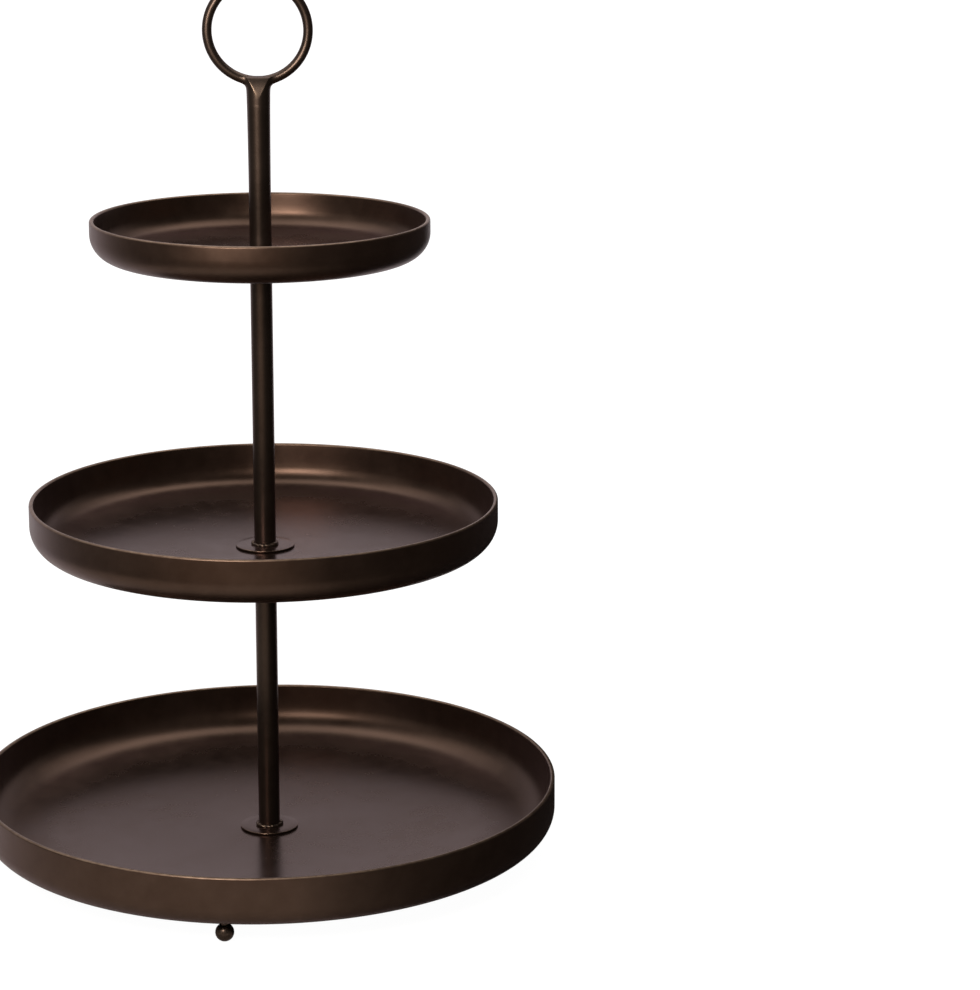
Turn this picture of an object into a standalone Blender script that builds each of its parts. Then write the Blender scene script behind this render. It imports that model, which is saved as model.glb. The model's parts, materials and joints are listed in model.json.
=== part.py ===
"""A three-tier round serving stand: three dishes on a screwed stem with a ring handle and ball feet.

All sizes are in metres, with +Z up. The origin is on the stem's axis, on the surface that the stand rests on.
Every stem section is a tube welded to a round flange. A stud under the flange passes through the dish and
screws into the section below, so the middle and the upper section come off by hand.
"""

import math

import bmesh
import bpy
from mathutils import Matrix, Vector

# Fits shared by all pieces
SEAT_GAP = 0.0003
SLIP_GAP = 0.0003
STUD_HOLE_GAP = 0.0004

# Dishes
BOTTOM_TRAY_RADIUS = 0.200
BOTTOM_TRAY_HEIGHT = 0.0358
BOTTOM_TRAY_CORNER = 0.014
MIDDLE_TRAY_RADIUS = 0.1595
MIDDLE_TRAY_HEIGHT = 0.0328
MIDDLE_TRAY_CORNER = 0.018
TOP_TRAY_RADIUS = 0.1136
TOP_TRAY_HEIGHT = 0.0266
TOP_TRAY_CORNER = 0.0175
TRAY_WALL = 0.003
FLOOR_EDGE_SLOPE = math.radians(4.5)
WASHER_RECESS_DEPTH = 0.0013

# Ball feet and the pegs that carry the bottom dish on them
UNDERSIDE_HEIGHT = 0.0154
BALL_RADIUS = 0.0057
BALL_FLAT_RADIUS = 0.0015
PEG_RADIUS = 0.0025
PEG_SOCKET_DEPTH = 0.004
FOOT_EDGE = 0.007
FOOT_TURN = math.radians(9.6)
FOOT_NAMES = ("front", "left", "right")

# Stem sections, from the flange to the top end of the tube
STEM_RADIUS = 0.00738
STEM_WALL = 0.0015
LOWER_STEM_LENGTH = 0.1985
MIDDLE_STEM_LENGTH = 0.1951
UPPER_STEM_LENGTH = 0.1027

# Flange, weld bead and washers at the foot of a section
FLANGE_RADIUS = 0.020
FLANGE_THICKNESS = 0.0012
FIBRE_WASHER_RADIUS = 0.0172
FIBRE_WASHER_THICKNESS = 0.001
WELD_LEG = 0.0021
WELD_FULLNESS = 0.6
BASE_WASHER_RADIUS = 0.012
BASE_WASHER_THICKNESS = 0.0015

# M6 thread of the studs and the base screw
THREAD_RADIUS = 0.003
THREAD_DEPTH = 0.00055
THREAD_PITCH = 0.001
THREAD_CREST = 0.00012
THREAD_FLANK_ANGLE = math.radians(30)
THREAD_TURNS = 7
THREAD_PLAY = 0.00025
THREAD_LEAD_IN = 0.0002
TIP_LENGTH = 0.0006
TIP_DRAFT = 0.0004
INSERT_LENGTH = 0.0105
PLUG_LENGTH = 0.012
SCREW_HEAD_RADIUS = 0.00525
SCREW_HEAD_HEIGHT = 0.0033
SCREW_HEAD_ROUND = 0.0012
SCREW_SOCKET_FLATS = 6
SCREW_SOCKET_WIDTH = 0.004
SCREW_SOCKET_DEPTH = 0.002

# Ring handle and the neck under it
RING_RADIUS = 0.0330
ROD_RADIUS = 0.0034
NECK_HEIGHT = 0.0095
NECK_SPIGOT_LENGTH = 0.010
NECK_BEVEL_HEIGHT = 0.0073
NECK_FILLET = 0.003

# Facets round each turned piece
TRAY_SIDES = 56
FLANGE_SIDES = 28
STEM_SIDES = 24
BALL_SIDES = 12
RING_SIDES = 48
ROD_SIDES = 10
THREAD_SIDES = 12
CORNER_STEPS = 4
FLOOR_STEPS = 5
BALL_STEPS = 7
NECK_STEPS = 6
SMOOTH_ANGLE = math.radians(35)
MERGE_DISTANCE = 1e-6

# Colours of the finishes, as base colour, metallic and roughness
BRONZE = ((0.055, 0.038, 0.030), 0.85, 0.36)
DARK_BRONZE = ((0.035, 0.025, 0.020), 0.85, 0.34)
STEEL = ((0.52, 0.52, 0.53), 1.0, 0.32)
FIBRE = ((0.030, 0.024, 0.020), 0.0, 0.85)


# Heights that follow from the stack of pieces
def flange_stack():
    """Height from the recess in a dish's floor to the bottom end of the tube that stands over it."""
    washer = SEAT_GAP + FIBRE_WASHER_THICKNESS
    flange = SEAT_GAP + FLANGE_THICKNESS
    return washer + flange + SEAT_GAP


def bowl_depth(radius, corner):
    """How much lower a dish's bowed floor is under the flange than at its rounded edge."""
    return math.tan(FLOOR_EDGE_SLOPE) * (radius - corner - FLANGE_RADIUS) / 2


RECESS_OVER_UNDERSIDE = TRAY_WALL - WASHER_RECESS_DEPTH
BOTTOM_BOWL = bowl_depth(BOTTOM_TRAY_RADIUS, BOTTOM_TRAY_CORNER)
MIDDLE_BOWL = bowl_depth(MIDDLE_TRAY_RADIUS, MIDDLE_TRAY_CORNER)
TOP_BOWL = bowl_depth(TOP_TRAY_RADIUS, TOP_TRAY_CORNER)
BOTTOM_LOWEST = UNDERSIDE_HEIGHT - BOTTOM_BOWL
BOTTOM_RECESS = BOTTOM_LOWEST + RECESS_OVER_UNDERSIDE
LOWER_STEM_FOOT = BOTTOM_RECESS + flange_stack()
LOWER_STEM_TOP = LOWER_STEM_FOOT + LOWER_STEM_LENGTH
MIDDLE_LOWEST = LOWER_STEM_TOP + SEAT_GAP
MIDDLE_UNDERSIDE = MIDDLE_LOWEST + MIDDLE_BOWL
MIDDLE_RECESS = MIDDLE_LOWEST + RECESS_OVER_UNDERSIDE
MIDDLE_STEM_FOOT = MIDDLE_RECESS + flange_stack()
MIDDLE_STEM_TOP = MIDDLE_STEM_FOOT + MIDDLE_STEM_LENGTH
TOP_LOWEST = MIDDLE_STEM_TOP + SEAT_GAP
TOP_UNDERSIDE = TOP_LOWEST + TOP_BOWL
TOP_RECESS = TOP_LOWEST + RECESS_OVER_UNDERSIDE
UPPER_STEM_FOOT = TOP_RECESS + flange_stack()
UPPER_STEM_TOP = UPPER_STEM_FOOT + UPPER_STEM_LENGTH
NECK_FOOT = UPPER_STEM_TOP + SEAT_GAP
RING_UNDERSIDE = NECK_FOOT + NECK_HEIGHT
RING_CENTRE = RING_UNDERSIDE + ROD_RADIUS + RING_RADIUS

# Radii that follow from the fits
STUD_HOLE_RADIUS = THREAD_RADIUS + STUD_HOLE_GAP
STEM_BORE = STEM_RADIUS - STEM_WALL
INSERT_RADIUS = STEM_BORE - SLIP_GAP
WELD_BORE = STEM_RADIUS + SEAT_GAP
THREAD_FLANK = THREAD_DEPTH * math.tan(THREAD_FLANK_ANGLE)
THREAD_LENGTH = THREAD_PITCH * (THREAD_TURNS + 1) + 2 * THREAD_LEAD_IN
FOOT_CIRCLE = BOTTOM_TRAY_RADIUS - BOTTOM_TRAY_CORNER - FOOT_EDGE


# Making objects
def clear_scene():
    """Removes whatever the file holds."""
    for item in list(bpy.data.objects):
        bpy.data.objects.remove(item, do_unlink=True)


def finish_material(name, finish):
    """A Principled BSDF with one finish's colour, metallic value and roughness."""
    colour, metallic, roughness = finish
    material = bpy.data.materials.new(name)
    material.use_nodes = True
    shader = material.node_tree.nodes["Principled BSDF"]
    shader.inputs["Base Color"].default_value = (*colour, 1.0)
    shader.inputs["Metallic"].default_value = metallic
    shader.inputs["Roughness"].default_value = roughness
    return material


def add_object(name, form, finish, section=None, place=(0.0, 0.0, 0.0), turn=0.0):
    """Puts a bmesh into the scene as one closed, smooth-shaded object under its section's empty."""
    bmesh.ops.remove_doubles(form, verts=form.verts, dist=MERGE_DISTANCE)
    bmesh.ops.recalc_face_normals(form, faces=form.faces)
    mesh = bpy.data.meshes.new(name)
    form.to_mesh(mesh)
    form.free()
    mesh.shade_smooth()
    mesh.set_sharp_from_angle(angle=SMOOTH_ANGLE)
    mesh.materials.append(finish_material(name, finish))
    item = bpy.data.objects.new(name, mesh)
    item.location = place
    item.rotation_euler = (0.0, 0.0, turn)
    item.parent = section
    bpy.context.collection.objects.link(item)
    return item


def add_section(name):
    """An empty on the stem's axis that carries the pieces which move together."""
    empty = bpy.data.objects.new(name, None)
    bpy.context.collection.objects.link(empty)
    return empty


def arc(centre_r, centre_z, radius, start, end, steps):
    """Points (r, z) along an arc, with its angles counted from +r towards +z."""
    angles = [start + (end - start) * i / steps for i in range(steps + 1)]
    return [(centre_r + radius * math.cos(a), centre_z + radius * math.sin(a)) for a in angles]


def turned(profile, sides, closed=True):
    """Spins a profile of (r, z) points round the Z axis. An open profile starts and ends on the axis."""
    form = bmesh.new()
    points = [form.verts.new((r, 0.0, z)) for r, z in profile]
    pairs = list(zip(points, points[1:]))
    if closed:
        pairs.append((points[-1], points[0]))
    edges = [form.edges.new(pair) for pair in pairs]
    bmesh.ops.spin(
        form,
        geom=points + edges,
        axis=(0.0, 0.0, 1.0),
        cent=(0.0, 0.0, 0.0),
        steps=sides,
        angle=math.tau,
        use_merge=True,
    )
    return form


# Dishes
def bowl_height(share, radius, corner):
    """Height of a dish's floor over its middle, at a share of the way from the flange to the edge."""
    return bowl_depth(radius, corner) * share**2


def bowl_line(radius, corner, middle):
    """Points (r, z) along a dish's bowed floor or underside, from the flange out to the rounded edge."""
    run = radius - corner - FLANGE_RADIUS
    shares = [i / FLOOR_STEPS for i in range(FLOOR_STEPS + 1)]
    return [(FLANGE_RADIUS + run * share, middle + bowl_height(share, radius, corner)) for share in shares]


def tray(radius, height, corner):
    """A dish with a bowed floor, a rounded lower edge, a straight wall and a rounded rim.

    Its underside's edge is at 0 and the middle is lower. A recess under the flange holds the fibre washer.
    """
    lowest = -bowl_depth(radius, corner)
    floor = lowest + TRAY_WALL
    recess = lowest + RECESS_OVER_UNDERSIDE
    recess_radius = FIBRE_WASHER_RADIUS + SLIP_GAP
    inner_corner = max(corner - TRAY_WALL, TRAY_WALL / 2)
    lip = TRAY_WALL / 2
    quarter = math.pi / 2
    profile = [(STUD_HOLE_RADIUS, recess), (STUD_HOLE_RADIUS, lowest)]
    profile += bowl_line(radius, corner, lowest)[:-1]
    profile += arc(radius - corner, corner, corner, -quarter, 0.0, CORNER_STEPS)
    profile += arc(radius - lip, height - lip, lip, 0.0, math.pi, CORNER_STEPS - 1)
    inner_floor_edge = radius - TRAY_WALL - inner_corner
    profile += arc(inner_floor_edge, TRAY_WALL + inner_corner, inner_corner, 0.0, -quarter, CORNER_STEPS)
    profile += bowl_line(radius, corner, floor)[-2::-1]
    profile += [(recess_radius, floor), (recess_radius, recess)]
    return turned(profile, TRAY_SIDES)


# Plain round pieces
def plate(radius, thickness):
    """A flat round plate with a hole for the stud."""
    return turned(
        [(STUD_HOLE_RADIUS, thickness), (STUD_HOLE_RADIUS, 0.0), (radius, 0.0), (radius, thickness)],
        FLANGE_SIDES,
    )


def tube(length):
    """A length of the stem's tube, standing at 0."""
    return turned(
        [(STEM_BORE, length), (STEM_BORE, 0.0), (STEM_RADIUS, 0.0), (STEM_RADIUS, length)],
        STEM_SIDES,
    )


def weld_bead():
    """The fillet of weld between a stem and its flange, a little fuller than a straight bevel."""
    bulge = WELD_FULLNESS * WELD_LEG
    return turned(
        [
            (WELD_BORE, WELD_LEG),
            (WELD_BORE, 0.0),
            (WELD_BORE + WELD_LEG, 0.0),
            (WELD_BORE + bulge, bulge),
        ],
        STEM_SIDES,
    )


def plug():
    """A plain plug for a tube's bottom end, bored for the stud's shank."""
    bore = THREAD_RADIUS + SLIP_GAP
    return turned(
        [(bore, PLUG_LENGTH), (bore, 0.0), (INSERT_RADIUS, 0.0), (INSERT_RADIUS, PLUG_LENGTH)],
        STEM_SIDES,
    )


# Ball feet
def ball_centre():
    """Height of a ball's centre, over the small flat that it rests on."""
    return math.sqrt(BALL_RADIUS**2 - BALL_FLAT_RADIUS**2)


def ball_top():
    """Height of the ball's upper flat, where the mouth of the peg's socket is."""
    return ball_centre() + math.sqrt(BALL_RADIUS**2 - socket_mouth() ** 2)


def socket_radius():
    """Radius of the socket that the peg sits in."""
    return PEG_RADIUS + SLIP_GAP


def socket_mouth():
    """Radius of the ball's upper flat, a little wider than the socket."""
    return socket_radius() + SLIP_GAP


def foot_ball():
    """A ball with a small flat to rest on and a blind socket for its peg."""
    centre = ball_centre()
    start = -math.acos(BALL_FLAT_RADIUS / BALL_RADIUS)
    end = math.acos(socket_mouth() / BALL_RADIUS)
    floor = ball_top() - PEG_SOCKET_DEPTH
    profile = [(0.0, 0.0)]
    profile += arc(0.0, centre, BALL_RADIUS, start, end, BALL_STEPS)
    profile += [(socket_radius(), ball_top()), (socket_radius(), floor), (0.0, floor)]
    return turned(profile, BALL_SIDES, closed=False)


def foot_peg():
    """The peg from the ball's socket up to the dish's bowed underside, which is lowest on its inner side."""
    bottom = ball_top() - PEG_SOCKET_DEPTH + SEAT_GAP
    run = BOTTOM_TRAY_RADIUS - BOTTOM_TRAY_CORNER - FLANGE_RADIUS
    share = (FOOT_CIRCLE - PEG_RADIUS - FLANGE_RADIUS) / run
    top = BOTTOM_LOWEST + bowl_height(share, BOTTOM_TRAY_RADIUS, BOTTOM_TRAY_CORNER) - SEAT_GAP
    profile = [(0.0, top), (PEG_RADIUS, top), (PEG_RADIUS, bottom), (0.0, bottom)]
    return turned(profile, BALL_SIDES, closed=False)


# Threads
def ring_points(radius, z, flats=0):
    """Points round the axis at one height. With flats, the ring is a prism, radius from axis to flat."""
    points = []
    for i in range(THREAD_SIDES):
        angle = math.tau * i / THREAD_SIDES
        reach = radius
        if flats:
            reach = radius / math.cos((angle + math.pi / flats) % (math.tau / flats) - math.pi / flats)
        points.append((reach * math.cos(angle), reach * math.sin(angle), z))
    return points


def add_ring(form, radius, z, flats=0):
    """Adds one ring of vertices to a bmesh."""
    return [form.verts.new(point) for point in ring_points(radius, z, flats)]


def bridge(form, lower, upper):
    """Closes the band between two rings of as many vertices."""
    count = len(lower)
    for i in range(count):
        j = (i + 1) % count
        form.faces.new((lower[i], lower[j], upper[j], upper[i]))


def add_thread(form, base, crest_radius, z_low):
    """Adds one right-hand helical ridge on a cylinder of radius base, between two level rings.

    A row of the ridge is four points: foot, both edges of the crest, foot. Each row is turned by one side and
    raised by its share of the pitch, and its upper foot meets the lower foot of the row one turn later.
    """
    rows = THREAD_SIDES * THREAD_TURNS
    start = z_low + THREAD_LEAD_IN
    rise = THREAD_PITCH / THREAD_SIDES

    def point(row, radius, lift):
        angle = math.tau * row / THREAD_SIDES
        return form.verts.new((radius * math.cos(angle), radius * math.sin(angle), start + row * rise + lift))

    foot = [point(row, base, 0.0) for row in range(rows + THREAD_SIDES + 1)]
    crest_low = [point(row, crest_radius, THREAD_FLANK) for row in range(rows + 1)]
    crest_high = [point(row, crest_radius, THREAD_FLANK + THREAD_CREST) for row in range(rows + 1)]
    heel = [point(row, base, 2 * THREAD_FLANK + THREAD_CREST) for row in range(rows + 1)]

    for row in range(rows):
        turn_up = foot[THREAD_SIDES:]
        for low, high in ((foot, crest_low), (crest_low, crest_high), (crest_high, heel), (heel, turn_up)):
            form.faces.new((low[row], low[row + 1], high[row + 1], high[row]))
    for row in (0, rows):
        outline = (foot[row], crest_low[row], crest_high[row], heel[row], foot[row + THREAD_SIDES])
        form.faces.new(outline)

    bottom = add_ring(form, base, z_low)
    for i in range(THREAD_SIDES - 1):
        form.faces.new((bottom[i], bottom[i + 1], foot[i + 1], foot[i]))
    last = THREAD_SIDES - 1
    form.faces.new((bottom[last], bottom[0], foot[0], foot[THREAD_SIDES], foot[last]))

    top = add_ring(form, base, z_low + THREAD_LENGTH)
    form.faces.new((foot[rows], foot[rows + 1], top[1], top[0], foot[rows + THREAD_SIDES]))
    for i in range(1, THREAD_SIDES):
        form.faces.new((foot[rows + i], foot[rows + i + 1], top[(i + 1) % THREAD_SIDES], top[i]))
    return bottom, top


def threaded_rod(below, z_low, above):
    """A rod with one thread. Below and above are rings of (radius, z, flats), listed from the bottom up."""
    form = bmesh.new()
    lower = [add_ring(form, *item) for item in below]
    bottom, top = add_thread(form, THREAD_RADIUS - THREAD_DEPTH, THREAD_RADIUS, z_low)
    upper = [add_ring(form, *item) for item in above]
    for first, second in zip(lower, lower[1:] + [bottom]):
        bridge(form, first, second)
    for first, second in zip([top] + upper, upper):
        bridge(form, first, second)
    form.faces.new(lower[0])
    form.faces.new(upper[-1])
    return form


def threaded_insert(z_thread):
    """A bush that fills the tube, with an internal thread from z_thread up. Its bottom is at 0."""
    form = bmesh.new()
    root = THREAD_RADIUS + THREAD_PLAY
    bottom, top = add_thread(form, root, root - THREAD_DEPTH, z_thread)
    mouth_low = add_ring(form, root, 0.0)
    mouth_high = add_ring(form, root, INSERT_LENGTH)
    outer_low = add_ring(form, INSERT_RADIUS, 0.0)
    outer_high = add_ring(form, INSERT_RADIUS, INSERT_LENGTH)
    bridge(form, mouth_low, bottom)
    bridge(form, top, mouth_high)
    bridge(form, mouth_high, outer_high)
    bridge(form, outer_high, outer_low)
    bridge(form, outer_low, mouth_low)
    return form


def insert_thread_height():
    """Height of the internal thread in an insert: in the middle of its length."""
    return (INSERT_LENGTH - THREAD_LENGTH) / 2


def stud(stem_foot, stem_top):
    """A stud from the plug above a dish down into the insert below it, built in the stand's own heights.

    Its ridge lies half a pitch from the insert's, so the two threads are in mesh.
    """
    root = THREAD_RADIUS - THREAD_DEPTH
    thread_low = stem_top - INSERT_LENGTH + insert_thread_height() + THREAD_PITCH / 2
    below = [(root - TIP_DRAFT, thread_low - TIP_LENGTH, 0)]
    shank_low = max(thread_low + THREAD_LENGTH + THREAD_LEAD_IN, stem_top + SEAT_GAP)
    above = [
        (root, shank_low, 0),
        (THREAD_RADIUS, shank_low, 0),
        (THREAD_RADIUS, stem_foot + PLUG_LENGTH, 0),
    ]
    return threaded_rod(below, thread_low, above)


def base_screw():
    """The button-head screw from under the bottom dish up into the lower stem's insert."""
    root = THREAD_RADIUS - THREAD_DEPTH
    seat = BOTTOM_LOWEST - 2 * SEAT_GAP - BASE_WASHER_THICKNESS
    head = seat - SCREW_HEAD_HEIGHT
    thread_low = LOWER_STEM_FOOT + insert_thread_height() + THREAD_PITCH / 2
    shank_high = LOWER_STEM_FOOT - SEAT_GAP
    below = [
        (SCREW_SOCKET_WIDTH / 2, head + SCREW_SOCKET_DEPTH, SCREW_SOCKET_FLATS),
        (SCREW_SOCKET_WIDTH / 2, head, SCREW_SOCKET_FLATS),
        (SCREW_HEAD_RADIUS - SCREW_HEAD_ROUND, head, 0),
        (SCREW_HEAD_RADIUS, head + SCREW_HEAD_ROUND, 0),
        (SCREW_HEAD_RADIUS, seat, 0),
        (THREAD_RADIUS, seat, 0),
        (THREAD_RADIUS, shank_high, 0),
        (root, shank_high, 0),
    ]
    above = [(root - TIP_DRAFT, thread_low + THREAD_LENGTH + TIP_LENGTH, 0)]
    return threaded_rod(below, thread_low, above)


# Ring handle and neck
def ring(rod_radius):
    """A ring of round rod, standing in the XZ plane round its own centre."""
    last_side = math.tau * (1 - 1 / ROD_SIDES)
    form = turned(arc(RING_RADIUS, 0.0, rod_radius, 0.0, last_side, ROD_SIDES - 1), RING_SIDES)
    upright = Matrix.Rotation(math.pi / 2, 3, "X")
    bmesh.ops.rotate(form, verts=form.verts, cent=(0.0, 0.0, 0.0), matrix=upright)
    return form


def neck():
    """The stem's solid top end, before the ring's saddle is cut.

    A spigot fills the tube. Above the tube the section is the stem's circle, clipped front and back to a
    thickness that falls to the rod's, and widened sideways by a fillet just under the ring.
    """
    form = bmesh.new()
    bevel_foot = RING_UNDERSIDE - NECK_BEVEL_HEIGHT
    end = RING_UNDERSIDE + ROD_RADIUS / 2
    fillet_foot = end - NECK_FILLET
    loops = []

    def add_loop(reach, half_thickness, z):
        loop = []
        for i in range(STEM_SIDES):
            angle = math.tau * i / STEM_SIDES
            y = min(reach, STEM_RADIUS) * math.sin(angle)
            y = max(-half_thickness, min(half_thickness, y))
            loop.append(form.verts.new((reach * math.cos(angle), y, z)))
        loops.append(loop)

    add_loop(INSERT_RADIUS, INSERT_RADIUS, UPPER_STEM_TOP - NECK_SPIGOT_LENGTH)
    add_loop(INSERT_RADIUS, INSERT_RADIUS, NECK_FOOT)
    add_loop(STEM_RADIUS, STEM_RADIUS, NECK_FOOT)
    add_loop(STEM_RADIUS, STEM_RADIUS, bevel_foot)
    for step in range(1, NECK_STEPS + 1):
        z = bevel_foot + (end - bevel_foot) * step / NECK_STEPS
        slope = (STEM_RADIUS - ROD_RADIUS) / NECK_BEVEL_HEIGHT
        thickness = STEM_RADIUS - slope * (z - bevel_foot)
        rise = max(0.0, z - fillet_foot) / NECK_FILLET
        reach = STEM_RADIUS + NECK_FILLET * (1 - math.sqrt(1 - min(1.0, rise) ** 2))
        add_loop(reach, thickness, z)
    for lower, upper in zip(loops, loops[1:]):
        bridge(form, lower, upper)
    form.faces.new(loops[0])
    form.faces.new(loops[-1])
    return form


def cut_saddle(item):
    """Cuts the ring's seat into the neck."""
    groove = ring(ROD_RADIUS + SEAT_GAP)
    cutter = add_object("ring_saddle_cutter", groove, DARK_BRONZE, place=(0.0, 0.0, RING_CENTRE))
    cutter.hide_render = True
    cutter.display_type = "WIRE"
    saddle = item.modifiers.new("saddle", "BOOLEAN")
    saddle.operation = "DIFFERENCE"
    saddle.solver = "EXACT"
    saddle.object = cutter


# The stand
def build_feet(section):
    """Three ball feet on their pegs, evenly round the bottom dish, the front one a little to the left."""
    for i, name in enumerate(FOOT_NAMES):
        angle = -math.pi / 2 - FOOT_TURN - math.tau * i / len(FOOT_NAMES)
        spot = Vector((FOOT_CIRCLE * math.cos(angle), FOOT_CIRCLE * math.sin(angle), 0.0))
        add_object(f"foot_ball_{name}", foot_ball(), DARK_BRONZE, section, spot, angle)
        add_object(f"foot_peg_{name}", foot_peg(), DARK_BRONZE, section, spot, angle)


def build_stem(name, recess, length, section, washer_section):
    """One stem section: fibre washer, flange, tube and weld bead, over the recess in a dish's floor."""
    washer_foot = recess + SEAT_GAP
    flange_foot = washer_foot + FIBRE_WASHER_THICKNESS + SEAT_GAP
    stem_foot = recess + flange_stack()
    washer = plate(FIBRE_WASHER_RADIUS, FIBRE_WASHER_THICKNESS)
    add_object(f"{name}_fibre_washer", washer, FIBRE, washer_section, (0.0, 0.0, washer_foot))
    flange = plate(FLANGE_RADIUS, FLANGE_THICKNESS)
    add_object(f"{name}_flange", flange, BRONZE, section, (0.0, 0.0, flange_foot))
    add_object(f"{name}_stem", tube(length), DARK_BRONZE, section, (0.0, 0.0, stem_foot))
    add_object(f"{name}_weld", weld_bead(), DARK_BRONZE, section, (0.0, 0.0, stem_foot))


def build_base():
    """The lower part, which stays on the table: two dishes, the lower stem, its screw and the feet."""
    section = add_section("base")
    lower = tray(BOTTOM_TRAY_RADIUS, BOTTOM_TRAY_HEIGHT, BOTTOM_TRAY_CORNER)
    add_object("bottom_tray", lower, BRONZE, section, (0.0, 0.0, UNDERSIDE_HEIGHT))
    upper = tray(MIDDLE_TRAY_RADIUS, MIDDLE_TRAY_HEIGHT, MIDDLE_TRAY_CORNER)
    add_object("middle_tray", upper, BRONZE, section, (0.0, 0.0, MIDDLE_UNDERSIDE))
    build_feet(section)
    build_stem("lower", BOTTOM_RECESS, LOWER_STEM_LENGTH, section, section)
    insert = threaded_insert(insert_thread_height())
    add_object("lower_bottom_insert", insert, STEEL, section, (0.0, 0.0, LOWER_STEM_FOOT))
    insert = threaded_insert(insert_thread_height())
    add_object("lower_top_insert", insert, STEEL, section, (0.0, 0.0, LOWER_STEM_TOP - INSERT_LENGTH))
    add_object("base_screw", base_screw(), STEEL, section)
    washer_foot = BOTTOM_LOWEST - SEAT_GAP - BASE_WASHER_THICKNESS
    washer = plate(BASE_WASHER_RADIUS, BASE_WASHER_THICKNESS)
    add_object("base_washer", washer, STEEL, section, (0.0, 0.0, washer_foot))


def build_middle():
    """The middle section, which unscrews from the base: its stem and the top dish, over its fibre washer."""
    washer_section = add_section("middle_seat")
    section = add_section("middle")
    section.parent = washer_section
    build_stem("middle", MIDDLE_RECESS, MIDDLE_STEM_LENGTH, section, washer_section)
    add_object("middle_plug", plug(), STEEL, section, (0.0, 0.0, MIDDLE_STEM_FOOT))
    add_object("middle_stud", stud(MIDDLE_STEM_FOOT, LOWER_STEM_TOP), STEEL, section)
    insert = threaded_insert(insert_thread_height())
    add_object("middle_top_insert", insert, STEEL, section, (0.0, 0.0, MIDDLE_STEM_TOP - INSERT_LENGTH))
    dish = tray(TOP_TRAY_RADIUS, TOP_TRAY_HEIGHT, TOP_TRAY_CORNER)
    add_object("top_tray", dish, BRONZE, section, (0.0, 0.0, TOP_UNDERSIDE))
    return section


def build_upper(below):
    """The upper section, which unscrews from the middle one: its stem, the neck and the ring handle."""
    washer_section = add_section("upper_seat")
    washer_section.parent = below
    section = add_section("upper")
    section.parent = washer_section
    build_stem("upper", TOP_RECESS, UPPER_STEM_LENGTH, section, washer_section)
    add_object("upper_plug", plug(), STEEL, section, (0.0, 0.0, UPPER_STEM_FOOT))
    add_object("upper_stud", stud(UPPER_STEM_FOOT, MIDDLE_STEM_TOP), STEEL, section)
    cut_saddle(add_object("handle_neck", neck(), DARK_BRONZE, section))
    add_object("handle_ring", ring(ROD_RADIUS), DARK_BRONZE, section, (0.0, 0.0, RING_CENTRE))


def main():
    """Builds the whole stand."""
    clear_scene()
    build_base()
    middle = build_middle()
    build_upper(middle)


main()
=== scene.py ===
# %% [markdown]
# # A three-tier serving stand in dark bronze
#
# The stand is three round metal dishes on a stem that unscrews, with a ring to carry it by and three ball
# feet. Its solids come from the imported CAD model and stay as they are. This lesson gives every solid a
# finer skin in the same place, finishes it in dark patinated bronze, and sets the light and the camera of a
# plain product photograph. The box of the CAD model is kept at once, because the skins must not outgrow it.

import json
import math

import bmesh
import bpy
import numpy as np
from mathutils import Matrix, Vector


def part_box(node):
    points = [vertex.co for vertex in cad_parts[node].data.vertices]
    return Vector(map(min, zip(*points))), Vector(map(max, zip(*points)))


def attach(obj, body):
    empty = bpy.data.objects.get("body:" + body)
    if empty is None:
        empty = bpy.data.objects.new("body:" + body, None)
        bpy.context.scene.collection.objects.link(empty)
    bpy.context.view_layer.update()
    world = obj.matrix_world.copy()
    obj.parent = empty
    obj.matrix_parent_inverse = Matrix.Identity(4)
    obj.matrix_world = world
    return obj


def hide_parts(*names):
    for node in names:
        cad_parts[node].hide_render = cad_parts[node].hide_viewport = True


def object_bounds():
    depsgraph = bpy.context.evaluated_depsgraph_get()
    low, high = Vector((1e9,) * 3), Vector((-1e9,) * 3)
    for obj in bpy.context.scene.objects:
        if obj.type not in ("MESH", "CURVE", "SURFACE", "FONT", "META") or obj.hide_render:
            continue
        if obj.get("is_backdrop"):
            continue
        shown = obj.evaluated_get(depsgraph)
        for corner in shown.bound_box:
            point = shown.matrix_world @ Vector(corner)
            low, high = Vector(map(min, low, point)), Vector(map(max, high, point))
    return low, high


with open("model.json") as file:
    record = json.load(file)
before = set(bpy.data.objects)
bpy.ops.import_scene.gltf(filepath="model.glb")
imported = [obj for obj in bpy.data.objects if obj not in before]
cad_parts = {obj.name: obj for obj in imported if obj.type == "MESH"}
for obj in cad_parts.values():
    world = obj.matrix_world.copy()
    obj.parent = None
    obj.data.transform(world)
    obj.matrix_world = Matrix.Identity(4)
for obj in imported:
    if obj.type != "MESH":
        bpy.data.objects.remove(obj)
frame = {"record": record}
cad_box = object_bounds()
record = frame["record"]
body_of_node = {node: body for body, nodes in record["behaviour"]["bodies"].items() for node in nodes}
slot_of_node = {part["node"]: part["material_slot"] for part in record["subparts"]}

# %% [markdown]
# ## Camera
#
# The photograph looks down on the stand by about 14 degrees with a long lens. A camera could be aimed by
# eye, but here the focal length, the place and the three angles come from a fit of the dishes' rims, the
# stem and the ring to the picture's edges. A focal length in pixels becomes one in millimetres once it is
# divided by the picture's long side and multiplied by the sensor's width. The stand is left of the
# picture's middle because the camera is turned by the yaw.

# %% Camera
FOCAL_PIXELS = 3039.2
LONG_SIDE_PIXELS = 990
SENSOR_MM = 36.0
CAMERA_PLACE = Vector((0.0, -2.0136, 0.7693))
CAMERA_PITCH = math.radians(14.450)
CAMERA_YAW = math.radians(4.382)
CAMERA_ROLL = math.radians(0.225)


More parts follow.
